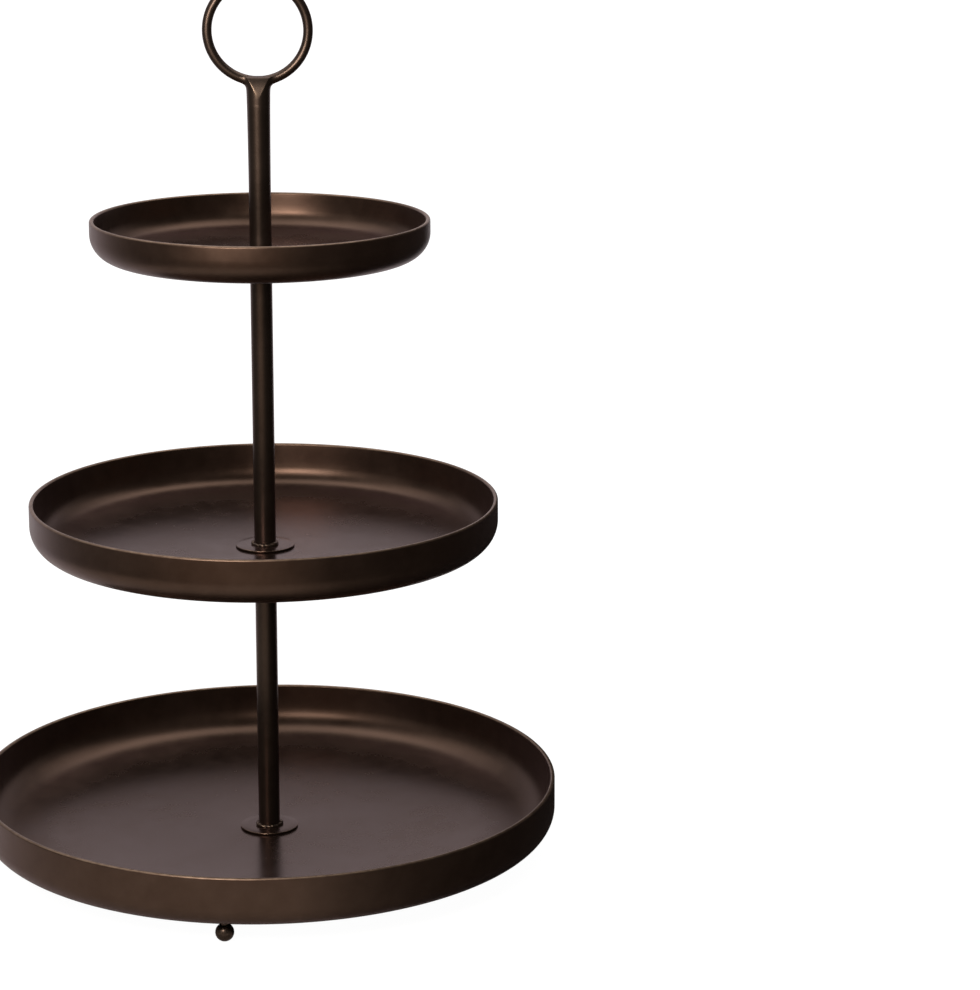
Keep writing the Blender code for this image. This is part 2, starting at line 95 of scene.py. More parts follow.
def add_camera():
    """Points -Z of the camera along pitch and yaw, then rolls it: right = level right cos + level up sin."""
    level = math.cos(CAMERA_PITCH)
    forward = Vector((math.sin(CAMERA_YAW) * level, math.cos(CAMERA_YAW) * level, -math.sin(CAMERA_PITCH)))
    level_right = Vector((math.cos(CAMERA_YAW), -math.sin(CAMERA_YAW), 0.0))
    level_up = level_right.cross(forward)
    right = level_right * math.cos(CAMERA_ROLL) + level_up * math.sin(CAMERA_ROLL)
    up = right.cross(forward)
    lens = bpy.data.cameras.new("camera")
    lens.sensor_width = SENSOR_MM
    lens.lens = FOCAL_PIXELS / LONG_SIDE_PIXELS * SENSOR_MM
    camera = bpy.data.objects.new("camera", lens)
    turn = Matrix((right, up, -forward)).transposed().to_4x4()
    camera.matrix_world = Matrix.Translation(CAMERA_PLACE) @ turn
    bpy.context.scene.collection.objects.link(camera)
    bpy.context.scene.camera = camera
    return camera


camera = add_camera()
print("lens in mm:", round(camera.data.lens, 2))

# %% [markdown]
# ## Finishes
#
# The real finish is a thin brown patina over bright metal, rubbed through a little at the rims. Metal has
# no colour of its own apart from what it mirrors, so the shader is nearly all metallic and its base colour
# is the dark brown that the patina mirrors. The small rest lets the patina scatter a little light, so its
# shadows stay brown. A picture of bronze could be wrapped round the pieces, but noise in the object's own
# metres has the same grain on all of them and leaves no seam. Large soft clouds and a fine grain vary
# colour and roughness, and two small bumps make the mirror image waver as on hand-polished metal.
#
# Each mesh brings two numbers at its points. Wear is high at an edge that hands rub, and uncovers the
# brighter metal under the patina, broken up by noise. At the dish lips and the facet's front left edge
# that bright metal is also a painted highlight, where the lamps catch the edge. Satin is high where the
# polishing wheel doesn't reach, and makes the metal rougher there.

# %% Numbers and colours in a node tree
NOISE_MIDDLE = (0.35, 0.65)
NOISE_MOST = (0.3, 0.7)


def add_node(tree, kind, values=None, **settings):
    """Adds a shader node, with its plain settings and the values of its sockets."""
    made = tree.nodes.new(kind)
    for key, value in settings.items():
        setattr(made, key, value)
    for key, value in (values or {}).items():
        made.inputs[key].default_value = value
    return made


def feed(tree, socket, value):
    """Links a socket to another one, or sets it to a number or an opaque colour."""
    if isinstance(value, bpy.types.NodeSocket):
        tree.links.new(value, socket)
    elif isinstance(value, tuple):
        socket.default_value = (*value, 1.0)
    else:
        socket.default_value = value


def add_noise(tree, place, scale, detail, roughness):
    """A cloud of noise over a place in metres, so a feature is about one over scale wide."""
    noise = add_node(tree, "ShaderNodeTexNoise", {"Scale": scale, "Detail": detail, "Roughness": roughness})
    tree.links.new(place, noise.inputs["Vector"])
    return noise.outputs["Fac"]


def remap(tree, source, low, high, to_low, to_high):
    """Stretches the span low to high of a number onto another span, and clamps it there."""
    spans = {"From Min": low, "From Max": high, "To Min": to_low, "To Max": to_high}
    made = add_node(tree, "ShaderNodeMapRange", spans)
    tree.links.new(source, made.inputs["Value"])
    return made.outputs["Result"]


def combine(tree, operation, first, second):
    """Adds or multiplies two numbers, either of which may be a socket or a constant."""
    made = add_node(tree, "ShaderNodeMath", operation=operation)
    feed(tree, made.inputs[0], first)
    feed(tree, made.inputs[1], second)
    return made.outputs[0]


def blend_colours(tree, share, first, second):
    """Goes from the first colour to the second as share goes from 0 to 1."""
    made = add_node(tree, "ShaderNodeMix", data_type="RGBA")
    tree.links.new(share, made.inputs[0])
    feed(tree, made.inputs[6], first)
    feed(tree, made.inputs[7], second)
    return made.outputs[2]


def shade_by(tree, noise, span, shades):
    """Goes from the first of two shades to the second as a noise goes over its span."""
    return blend_colours(tree, remap(tree, noise, *span, 0.0, 1.0), *shades)


# %% Bumps and new finishes
def add_bumps(tree, shader, layers):
    """Chains bumps into the shader's normal. Each has a height source, a depth in metres and a strength."""
    normal = None
    for source, depth, strength in layers:
        bump = add_node(tree, "ShaderNodeBump", {"Strength": strength, "Distance": depth})
        tree.links.new(source, bump.inputs["Height"])
        if normal is not None:
            tree.links.new(normal, bump.inputs["Normal"])
        normal = bump.outputs["Normal"]
    tree.links.new(normal, shader.inputs["Normal"])


def new_finish(name, metallic):
    """A node material with its tree, its shader and the socket of its place in object coordinates."""
    material = bpy.data.materials.new(name)
    material.use_nodes = True
    tree = material.node_tree
    shader = tree.nodes["Principled BSDF"]
    shader.inputs["Metallic"].default_value = metallic
    return material, tree, shader, add_node(tree, "ShaderNodeTexCoord").outputs["Object"]


# %% Bronze
# A noise has a scale, a detail and a roughness, and a bump has a depth in metres and a strength.
CLOUD = (14.0, 5.0, 0.6)
MOTTLE = (75.0, 4.0, 0.6)
GRAIN = (900.0, 2.0, 0.5)
RUB_AND_HIGHLIGHT_NOISE = (160.0, 4.0, 0.65)
WAVE = (34.0, 2.0, 0.4)
CLOUD_SHARE = 0.6
GRAIN_SHARE = 0.1
SHADE_SPAN = (0.36, 0.64)
RUB_AND_HIGHLIGHT_SPAN = (0.38, 0.62)
LEAST_RUB_AND_HIGHLIGHT = 0.45
POLISH_SPAN = (0.40, 0.70)
WAVE_BUMP = (0.0006, 0.08)
GRAIN_BUMP = (0.00004, 0.08)
# Bare bright metal where the patina wears through; at the dish lips and the facet's lit edge also a painted
# highlight.
RUBBED_METAL_AND_HIGHLIGHT = (0.42, 0.30, 0.21)
EDGE_TINT = (1.0, 0.90, 0.945, 1.0)
METAL_SHARE = 0.91
LACQUER_GLOSS = 0.15
SATIN_ROUGHNESS = 0.11
DISH_SHADES = ((0.053, 0.032, 0.023), (0.072, 0.045, 0.033))
DISH_ROUGHNESS = (0.20, 0.29)
DISH_RUB_AND_HIGHLIGHT = 0.33
STEM_SHADES = ((0.050, 0.035, 0.027), (0.066, 0.047, 0.037))
STEM_ROUGHNESS = (0.27, 0.37)
STEM_RUB_AND_HIGHLIGHT = 0.5


def bronze(name, shades, roughness, rub_and_highlight):
    """Patinated bronze: noise picks a colour between two shades and a roughness between two limits.

    The share of bright metal is wear_and_highlight times a noise times rub_and_highlight, and the roughness
    grows with satin. The bright metal is bare metal where the patina wears through, and at the lips and the
    facet's lit edge also a painted highlight. The tint keeps a low view of the metal brown, where plain
    metal would turn white, and the part that isn't metallic keeps only a weak gloss.
    """
    material, tree, shader, place = new_finish(name, METAL_SHARE)
    shader.inputs["Specular Tint"].default_value = EDGE_TINT
    shader.inputs["Specular IOR Level"].default_value = LACQUER_GLOSS
    cloud = combine(tree, "MULTIPLY", add_noise(tree, place, *CLOUD), CLOUD_SHARE)
    mottle = combine(tree, "MULTIPLY", add_noise(tree, place, *MOTTLE), 1 - CLOUD_SHARE)
    mixed = combine(tree, "ADD", cloud, mottle)
    patina = shade_by(tree, mixed, SHADE_SPAN, shades)

    wear_and_highlight = add_node(tree, "ShaderNodeAttribute", attribute_name="wear_and_highlight").outputs["Fac"]
    patches = remap(tree, add_noise(tree, place, *RUB_AND_HIGHLIGHT_NOISE), *RUB_AND_HIGHLIGHT_SPAN, LEAST_RUB_AND_HIGHLIGHT, 1.0)
    rubbed_and_highlit = combine(tree, "MULTIPLY", combine(tree, "MULTIPLY", wear_and_highlight, patches), rub_and_highlight)
    # Wear and painted highlight: bright metal mixed in where the mark is high, at the lips and the facet's
    # lit edge.
    tree.links.new(blend_colours(tree, rubbed_and_highlit, patina, RUBBED_METAL_AND_HIGHLIGHT), shader.inputs["Base Color"])

    grain = add_noise(tree, place, *GRAIN)
    grained = combine(tree, "ADD", mixed, combine(tree, "MULTIPLY", grain, GRAIN_SHARE))
    polish = remap(tree, grained, *POLISH_SPAN, *roughness)
    satin = add_node(tree, "ShaderNodeAttribute", attribute_name="satin").outputs["Fac"]
    rougher = combine(tree, "MULTIPLY", satin, SATIN_ROUGHNESS)
    tree.links.new(combine(tree, "ADD", polish, rougher), shader.inputs["Roughness"])
    wave = add_noise(tree, place, *WAVE)
    add_bumps(tree, shader, ((wave, *WAVE_BUMP), (grain, *GRAIN_BUMP)))
    return material


dish_bronze = bronze("dish_bronze", DISH_SHADES, DISH_ROUGHNESS, DISH_RUB_AND_HIGHLIGHT)
stem_bronze = bronze("stem_bronze", STEM_SHADES, STEM_ROUGHNESS, STEM_RUB_AND_HIGHLIGHT)
print("bronzes:", dish_bronze.name, stem_bronze.name)

# %% [markdown]
# The hidden fasteners are zinc-plated steel, pale and slightly cloudy. The washers under the flanges are
# pressed fibre, which is not a metal: it scatters light, has no gloss and shows short dark and light
# strands. One plain colour would do while they are hidden, but not once the stand is unscrewed.

# %% Steel and fibre
BLOOM = (260.0, 4.0, 0.6)
ZINC_GRAIN = (2600.0, 2.0, 0.5)
ZINC_SHADES = ((0.42, 0.42, 0.43), (0.60, 0.60, 0.62))
ZINC_ROUGHNESS = (0.24, 0.44)
ZINC_BUMP = (0.00002, 0.4)
STRAND = (1500.0, 4.0, 0.7)
STRAND_STRETCH = (1.0, 0.25, 1.0)
FIBRE_SHADES = ((0.018, 0.014, 0.011), (0.052, 0.041, 0.033))
FIBRE_ROUGHNESS = 0.88
FIBRE_BUMP = (0.00006, 0.6)


def zinc_steel():
    """Plated steel: one noise varies a pale grey and its roughness, and a finer one gives it relief."""
    material, tree, shader, place = new_finish("zinc_steel", 1.0)
    bloom = add_noise(tree, place, *BLOOM)
    tree.links.new(shade_by(tree, bloom, NOISE_MIDDLE, ZINC_SHADES), shader.inputs["Base Color"])
    tree.links.new(remap(tree, bloom, *NOISE_MOST, *ZINC_ROUGHNESS), shader.inputs["Roughness"])
    add_bumps(tree, shader, ((add_noise(tree, place, *ZINC_GRAIN), *ZINC_BUMP),))
    return material


def pressed_fibre():
    """Dark fibre board: noise drawn out along one axis gives strands in colour and in relief."""
    material, tree, shader, place = new_finish("pressed_fibre", 0.0)
    stretch = add_node(tree, "ShaderNodeMapping", {"Scale": STRAND_STRETCH})
    tree.links.new(place, stretch.inputs["Vector"])
    strands = add_noise(tree, stretch.outputs["Vector"], *STRAND)
    tree.links.new(shade_by(tree, strands, NOISE_MIDDLE, FIBRE_SHADES), shader.inputs["Base Color"])
    shader.inputs["Roughness"].default_value = FIBRE_ROUGHNESS
    add_bumps(tree, shader, ((strands, *FIBRE_BUMP),))
    return material


finishes = {
    "dish_bronze": dish_bronze,
    "stem_bronze": stem_bronze,
    "steel": zinc_steel(),
    "fibre": pressed_fibre(),
}
print("finishes:", sorted(finishes))

# %% [markdown]
# ## From a grid of points to a piece
#
# A piece could be put together from Blender's own cylinders and rings and then bevelled. Here every piece
# is a grid of points instead, with one parameter along an outline and the other round a turn, because a
# formula sets each edge exactly and numpy works out the whole grid at once. One function turns such a grid
# into a mesh with four-cornered cells, joins what falls together at a pole or a seam, and turns the faces
# outward. A second one, dress, puts the piece on the body that carries its CAD node, says which node it
# stands for, and gives it that node's finish.

# %% Grid to mesh
MERGE_DISTANCE = 1e-7
SHARP_EDGE = math.radians(38)


def grid_cells(rows, columns, wrap_rows):
    """Corner numbers of every cell of a grid whose columns close into a ring.

    Point (i, j) has the number i * columns + j. A cell joins (i, j), (i, j + 1), (i + 1, j + 1) and
    (i + 1, j), counted on past the last column to the first one, and with wrap_rows past the last row too.
    """
    row, column = np.meshgrid(np.arange(rows if wrap_rows else rows - 1), np.arange(columns), indexing="ij")
    next_row = (row + 1) % rows
    next_column = (column + 1) % columns
    corners = (
        row * columns + column,
        row * columns + next_column,
        next_row * columns + next_column,
        next_row * columns + column,
    )
    return np.stack(corners, axis=-1).reshape(-1, 4)


def add_surface(name, points, wrap_rows=False, wear_and_highlight=0.0, satin=0.0):
    """Makes an object from points of shape (rows, columns, 3), with wear_and_highlight and satin at each
    point.
    """
    rows, columns = points.shape[:2]
    mesh = bpy.data.meshes.new(name)
    mesh.from_pydata(points.reshape(-1, 3), [], grid_cells(rows, columns, wrap_rows))
    for mark, value in (("wear_and_highlight", wear_and_highlight), ("satin", satin)):
        numbers = np.broadcast_to(value, (rows, columns)).astype(np.float32).ravel()
        mesh.attributes.new(mark, "FLOAT", "POINT").data.foreach_set("value", numbers)
    form = bmesh.new()
    form.from_mesh(mesh)
    bmesh.ops.remove_doubles(form, verts=form.verts, dist=MERGE_DISTANCE)
    bmesh.ops.recalc_face_normals(form, faces=form.faces)
    form.to_mesh(mesh)
    form.free()
    mesh.shade_smooth()
    mesh.set_sharp_from_angle(angle=SHARP_EDGE)
    piece = bpy.data.objects.new(name, mesh)
    bpy.context.scene.collection.objects.link(piece)
    return piece


def dress(piece, node, finish=None):
    """Lets a piece stand for a CAD node, on that node's body and with that node's finish or a given one."""
    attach(piece, body_of_node[node])
    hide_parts(node)
    piece.data.materials.append(finish or finishes[slot_of_node[node]])
    print(piece.name, "for", node, "faces", len(piece.data.polygons))
    return piece


# %% [markdown]
# Most pieces are turned. Blender could spin a drawn curve, but wear and satin follow the outline too, so
# the turning is done here from one array. An outline is a polygon of (radius, height) corners, and on real
# metal no corner is sharp, so each corner gets an arc that touches both of its sides. Long straight runs
# are then cut into short ones, so that the cells stay near to square and wear can change along them. An arc
# meets its sides without a kink, yet its curve begins at once, which polished metal shows as a crisp line.
# Where that matters, the outline is averaged along its length.

# %% Outlines
EASE_STEP = 0.00025
EASE_SPREADS = 4
EASE_POWER = 6


def rounded_outline(corners, radii, steps):
    """Replaces every corner of a closed polygon by an arc.

    Half the angle between the two sides gives the arc's centre, at radius / sin(half) along the bisector,
    and its ends, at radius / tan(half) along each side. The arc between them is swept at an even rate.
    """
    corners = np.array(corners, float)
    radii = np.array(radii, float)[:, None]
    back = np.roll(corners, 1, axis=0) - corners
    ahead = np.roll(corners, -1, axis=0) - corners
    back /= np.linalg.norm(back, axis=1, keepdims=True)
    ahead /= np.linalg.norm(ahead, axis=1, keepdims=True)
    half = np.arccos(np.clip((back * ahead).sum(axis=1, keepdims=True), -1.0, 1.0)) / 2
    bisector = (back + ahead) / np.linalg.norm(back + ahead, axis=1, keepdims=True)
    centre = corners + bisector * radii / np.sin(half)
    start = corners + back * radii / np.tan(half) - centre
    end = corners + ahead * radii / np.tan(half) - centre
    sweep = (math.pi - 2 * half)[:, :, None]
    share = np.linspace(0.0, 1.0, steps + 1)[None, :, None]
    arcs = np.sin((1 - share) * sweep) * start[:, None] + np.sin(share * sweep) * end[:, None]
    return (centre[:, None] + arcs / np.sin(sweep)).reshape(-1, 2)


def cut_runs(outline, longest):
    """Divides each side of a closed outline into equal runs that are no longer than the longest."""
    side = np.roll(outline, -1, axis=0) - outline
    count = np.maximum(1, np.ceil(np.linalg.norm(side, axis=1) / longest)).astype(int)
    which = np.repeat(np.arange(len(outline)), count)
    within = np.arange(count.sum()) - np.repeat(np.cumsum(count) - count, count)
    return outline[which] + side[which] * (within / count[which])[:, None]


def eased(outline, index, reach, blur):
    """Averages a closed outline along its own length near one of its points.

    The outline is read off at even steps and averaged with weights exp(-(distance / blur)**2 / 2). The
    averaged place counts by exp(-(distance from the point / reach)**6), with every distance taken along the
    outline.
    """
    closed = np.vstack([outline, outline[:1]])
    along = np.append(0.0, np.cumsum(np.linalg.norm(np.diff(closed, axis=0), axis=1)))
    even = np.arange(0.0, along[-1], EASE_STEP)
    span = int(EASE_SPREADS * blur / EASE_STEP)
    weights = np.exp(-((np.arange(-span, span + 1) * EASE_STEP / blur) ** 2) / 2)
    smooth = outline.copy()
    for axis in (0, 1):
        fine = np.pad(np.interp(even, along, closed[:, axis]), span, mode="wrap")
        averaged = np.convolve(fine, weights / weights.sum(), mode="valid")
        smooth[:, axis] = np.interp(along[:-1], even, averaged)
    share = np.exp(-((np.abs(along[:-1] - along[index]) / reach) ** EASE_POWER))[:, None]
    return outline + (smooth - outline) * share


# %% Turning and measuring
def turned(outline, sides, centre=(0.0, 0.0)):
    """Carries an outline of (radius, height) round an upright axis: x = r cos a, y = r sin a, z = height."""
    angle = np.linspace(0.0, math.tau, sides, endpoint=False)
    radius = outline[:, :1]
    height = np.broadcast_to(outline[:, 1:], (len(outline), sides))
    across = centre[0] + radius * np.cos(angle)
    return np.stack([across, centre[1] + radius * np.sin(angle), height], axis=-1)


def reach_of(node):
    """A turned node's radius and its lowest and highest point, measured on the CAD model."""
    low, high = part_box(node)
    return (high.x - low.x) / 2, low.z, high.z


print("bottom dish, radius in mm:", round(reach_of("bottom_tray")[0] * 1000, 1))

# %% [markdown]
# ## The three dishes
#
# Each dish is spun from a 3 mm disc: a floor that bows down a little to the middle, a rounded lower edge, a
# wall and a rounded lip. A shallow recess in the middle takes the washer under the stem's flange. Solidify
# could thicken a single sheet, but inside and outside have different corners here, so one closed outline
# goes round both. Outside the wall is upright. Inside it leans by a few degrees and runs into the floor in
# a wide, eased corner, so the light there spreads into a soft band. The outline is drawn with a level
# floor, rounded and cut into runs, and only then bowed, so that floor and underside bow alike.
#
# Spinning leaves the wall very slightly out of round, so the turned grid is pushed in by a tenth of a
# millimetre or two, most at the lip and not at all at the floor. The lip is where hands and cloths rub, so
# it is worn, and its bright line is also a painted highlight where the lamps catch the rim. The wheel that
# polishes the floor doesn't reach the corner and the wall, so they are satin.

# %% Dishes
DISH_WALL = 0.003
FLOOR_SLOPE = math.tan(math.radians(4.5))
BOW_START = 0.020
RECESS_RADIUS = 0.0175
RECESS_DEPTH = 0.0013
RECESS_ROUND = 0.0002
STUD_HOLE = 0.0034
DISH_EDGE = 0.0003
LIP_ROUND = 0.0014
WALL_LEAN = math.tan(math.radians(4.5))
SATIN_FADE = 0.030
DISH_SIDES = 288
DISH_RUN = 0.004
DISH_ARC_STEPS = 16
INNER_CORNER_NUMBER = 4
EASE_REACH = 1.25
EASE_BLUR = 0.22
OUT_OF_ROUND = 0.00012
LIP_WEAR_AND_HIGHLIGHT_DEPTH = 0.0012
# Each wave has a count round the dish, a phase and a size.
SWELL_WAVES = ((2, 0.4, 1.0), (3, 2.1, 0.7), (7, 1.0, 0.3))
# Each dish has an outer corner, an inner corner, and a sink of the floor's edge below the level floor.
DISH_CORNERS = {
    "bottom": (0.014, 0.0180, 0.0013),
    "middle": (0.018, 0.0135, 0.0),
    "top": (0.0175, 0.0120, 0.0),
}


def add_dish(name, node, corner, inner_corner, sink):
    """Turns a dish's outline, bows its floor, eases its inner corner and lets its wall swell by slow waves.

    The floor drops by bow * (1 - s**2), where s goes from 0 at the flange to 1 at the rounded edge. The
    waves grow with the square of the height over the floor. Wear with a painted highlight fades down from
    the rim, and satin fades over the floor from the start of the inner corner.
    """
    radius, lowest, rim = reach_of(node)
    edge = radius - corner
    bow = FLOOR_SLOPE * (edge - BOW_START) / 2
    underside = lowest + bow
    floor = underside + DISH_WALL
    foot = radius - DISH_WALL - WALL_LEAN * (rim - floor)
    outline = rounded_outline(
        [
            (STUD_HOLE, underside),
            (radius, underside),
            (radius, rim),
            (radius - DISH_WALL, rim),
            (foot, floor - sink),
            (RECESS_RADIUS, floor),
            (RECESS_RADIUS, floor - RECESS_DEPTH),
            (STUD_HOLE, floor - RECESS_DEPTH),
        ],
        [DISH_EDGE, corner, LIP_ROUND, LIP_ROUND, inner_corner, DISH_EDGE, RECESS_ROUND, DISH_EDGE],
        DISH_ARC_STEPS,
    )
    corner_middle = outline[INNER_CORNER_NUMBER * (DISH_ARC_STEPS + 1) + DISH_ARC_STEPS // 2]
    outline = cut_runs(outline, DISH_RUN)
    at_corner = np.linalg.norm(outline - corner_middle, axis=1).argmin()
    share = np.clip((outline[:, 0] - BOW_START) / (edge - BOW_START), 0.0, 1.0)
    # The lip's bright line: rubbed metal and also a painted highlight of the lamps along the rim.
    wear_and_highlight = np.clip(1 - (rim - outline[:, 1]) / LIP_WEAR_AND_HIGHLIGHT_DEPTH, 0.0, 1.0)
    satin = np.clip(1 - (foot - inner_corner - outline[:, 0]) / SATIN_FADE, 0.0, 1.0)
    outline[:, 1] -= bow * (1 - share**2)
    outline = eased(outline, at_corner, EASE_REACH * inner_corner, EASE_BLUR * inner_corner)
    points = turned(outline, DISH_SIDES)
    angle = np.arctan2(points[..., 1], points[..., 0])
    climb = np.clip((points[..., 2] - floor) / (rim - floor), 0.0, 1.0) ** 2
    swell = sum(size * np.sin(count * angle + phase) for count, phase, size in SWELL_WAVES)
    points[..., :2] *= (1 - OUT_OF_ROUND * climb * (1 + swell / 2) / radius)[..., None]
    return dress(add_surface(name, points, True, wear_and_highlight[:, None], satin[:, None]), node)


for tier, sizes in DISH_CORNERS.items():
    add_dish(f"dish_{tier}", f"{tier}_tray", *sizes)

# %% [markdown]
# ## Stem sections
#
# A section is a length of round tube on a flat flange, and a fibre washer keeps the flange off the dish. A
# curve with a round bevel could make the tube, but turned from four corners all three get the fine edges
# that a lathe leaves. The tube's upper end carries the next dish, so it is cut square. The flange has the
# finish of the dish under it, and its upper edge is rubbed bright. Only the top section was heated and
# upset where the ring joins it, so its tube swells a little towards its end.

# %% Tubes, flanges and washers
TUBE_WALL = 0.0015
TUBE_EDGE = 0.00015
TUBE_ARC_STEPS = 4
TUBE_RUN = 0.004
TUBE_SIDES = 96
FLANGE_EDGE = 0.0003
WASHER_EDGE = 0.0002
PLATE_ARC_STEPS = 5
PLATE_RUN = 0.006
PLATE_SIDES = 128
FLARE_LENGTH = 0.055
FLARE = 0.052
FLARE_POWER = 1.6
SECTIONS = ("lower", "middle", "upper")


def sleeve(bore, radius, low, high, edge, arc_steps, longest):
    """The outline of a round piece with a bore: four corners, each rounded by edge, and cut into runs."""
    corners = [(bore, low), (radius, low), (radius, high), (bore, high)]
    return cut_runs(rounded_outline(corners, [edge] * len(corners), arc_steps), longest)


def add_plate(name, node, edge, bore, sides=PLATE_SIDES, finish=None):
    """A flat round piece with a bore, turned from a sleeve's outline and abraded at its upper outer edge."""
    radius, low, high = reach_of(node)
    outline = sleeve(bore, radius, low, high, edge, PLATE_ARC_STEPS, PLATE_RUN)
    wear_and_highlight = (outline[:, 0] > radius - edge) & (outline[:, 1] > high - edge)
    return dress(add_surface(name, turned(outline, sides), True, wear_and_highlight[:, None]), node, finish)


def flare(height, top):
    """How much wider the top section is than its tube: 1 + FLARE * t**1.6, with t from 0 to 1 at its end."""
    share = np.clip((height - top) / FLARE_LENGTH + 1, 0.0, None)
    return 1 + FLARE * share**FLARE_POWER


def add_tube(name, node, swells):
    """A tube turned from a sleeve's outline. One that swells has its radii multiplied by the flare."""
    radius, low, high = reach_of(node)
    outline = sleeve(radius - TUBE_WALL, radius, low, high, TUBE_EDGE, TUBE_ARC_STEPS, TUBE_RUN)
    if swells:
        outline[:, 0] *= flare(outline[:, 1], high)
    return dress(add_surface(name, turned(outline, TUBE_SIDES), True), node)


for section in SECTIONS:
    add_tube(f"tube_{section}", f"{section}_stem", section == "upper")
    add_plate(f"flange_{section}", f"{section}_flange", FLANGE_EDGE, STUD_HOLE, finish=dish_bronze)
    add_plate(f"fibre_washer_{section}", f"{section}_fibre_washer", WASHER_EDGE, STUD_HOLE)

# %% [markdown]
# A weld bead runs round the foot of each tube. A welder lays it as a row of small overlapping puddles,
# which never come out quite even, so a plain ring would look moulded. The bead's section is a quarter round
# in the corner of tube and flange, and the distance from that corner swells and shrinks with a scallop for
# each puddle and a slow drift round the tube. A few specks of it are rubbed bright.

# %% Weld beads
WELD_LEG = 0.0021
WELD_SIDES = 240
WELD_PUDDLES = 11
WELD_STEPS = 12
WELD_ROOT = 0.0005
WELD_BASE = 0.62
WELD_SCALLOP = 0.22
WELD_LEAN = 0.35
WELD_BULGE = 0.18
WELD_WEAR = 0.12
# A drift has a count round the tube, a number of lags and a size, and a speck wave has the first two.
WELD_DRIFTS = ((2, 5, 0.16), (5, 9, 0.12))
SPECK_WAVES = ((11, 7), (4, 3))
SPECK_GAIN = 4
SPECK_DROP = 2.6
SPECK_WEAR = 0.75
FIRST_LAG = 0.23
LAG_STEP = 0.31


def add_weld(name, node, tube_node, lag):
    """Section angle s goes from the flange (0) to the tube (90 degrees), and a goes round the tube.

    The bead's reach is the leg times the sum of a base share, the scallop and the drift, and bulges halfway
    up. The scallop is half a circle over each puddle, and its crest leans along the weld as s grows. The
    last row lies inside the corner and closes the section. The lag sets each weld's own pattern.
    """
    tube_radius = reach_of(tube_node)[0]
    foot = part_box(node)[0].z - WELD_ROOT / 2
    angle = np.linspace(0.0, math.tau, WELD_SIDES, endpoint=False)[None, :]
    section = np.linspace(0.0, math.pi / 2, WELD_STEPS)[:, None]
    puddle = np.mod(angle * WELD_PUDDLES / math.tau + WELD_LEAN * np.sin(section) + lag, 1.0)
    scallop = np.sqrt(1 - (2 * puddle - 1) ** 2)
    drift = sum(size * np.sin(count * angle + lag * lags) for count, lags, size in WELD_DRIFTS)
    bulge = 1 + WELD_BULGE * np.sin(2 * section)
    reach = WELD_LEG * (WELD_BASE + WELD_SCALLOP * scallop + drift) * bulge
    radius = np.vstack([tube_radius + reach * np.cos(section), np.full_like(angle, tube_radius - WELD_ROOT)])
    height = np.vstack([foot + reach * np.sin(section), np.full_like(angle, foot - WELD_ROOT / 2)])
    points = np.stack([radius * np.cos(angle), radius * np.sin(angle), height], axis=-1)
    beat = math.prod(np.sin(count * angle + lag * lags) for count, lags in SPECK_WAVES)
    specks = np.clip(beat * SPECK_GAIN - SPECK_DROP, 0.0, 1.0)
    wear_and_highlight = np.vstack([WELD_WEAR + SPECK_WEAR * specks * np.sin(2 * section), np.zeros_like(angle)])
    return dress(add_surface(name, points, True, wear_and_highlight), node)


for index, section in enumerate(SECTIONS):
    add_weld(f"weld_{section}", f"{section}_weld", f"{section}_stem", FIRST_LAG + LAG_STEP * index)

# %% [markdown]
# ## Ring handle and neck
#
# The ring is bent from 7 mm rod. The stem's top end is dressed flat in front and behind, so that a V-shaped
# facet shows under the ring, and the weld between the two is smoothed until stem and rod run into each
# other. A boolean with a bevel could join them, but it often leaves ragged cells. Such a blend has no
# simple outline, yet it has a simple distance: how far a point is outside the filed stem and outside the
# rod, joined by a soft minimum. The neck's skin is where that joint distance is zero. The facet's edges
# are rubbed a little, and the front left one, which faces the lamps, is bright: rubbed metal and a painted
# highlight.

# %% Ring
RING_SIDES = 192
ROD_SIDES = 32


def ring_sizes(node):
    """The radius of a ring's rod, the radius of its bend and the height of its middle, from its CAD box."""
    low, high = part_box(node)
    rod = (high.y - low.y) / 2
    return rod, (high.x - low.x) / 2 - rod, (high.z + low.z) / 2


def add_ring(name, node):
    """A torus that stands in the XZ plane: R + r cos v round the centre, and r sin v from front to back."""
    rod, bend, middle = ring_sizes(node)
    along = np.linspace(0.0, math.tau, RING_SIDES, endpoint=False)[:, None]
    around = np.linspace(0.0, math.tau, ROD_SIDES, endpoint=False)[None, :]
    out = bend + rod * np.cos(around)
    depth = rod * np.sin(around) + 0 * along
    points = np.stack([out * np.cos(along), depth, middle + out * np.sin(along)], axis=-1)
    return dress(add_surface(name, points, True), node)


add_ring("ring", "handle_ring")

# %% Neck
NECK_SIDES = 240
NECK_ROWS = 84
NECK_BLEND = 0.0014
NECK_COVER = 0.00006
NECK_LAP = 0.0020
NECK_REACH = 0.030
HALVINGS = 24
FACET_TIP = 0.0082
FACET_SPREAD = 0.50
FACET_WEAR_AND_HIGHLIGHT_WIDTH = 0.00025
LIT_SIDE_WEAR_AND_HIGHLIGHT = 0.7
OTHER_SIDES = 0.15
# Heights over the ring's underside, in radii of its rod.
NECK_TOP = 1.94
WEB_TOP = 1.6


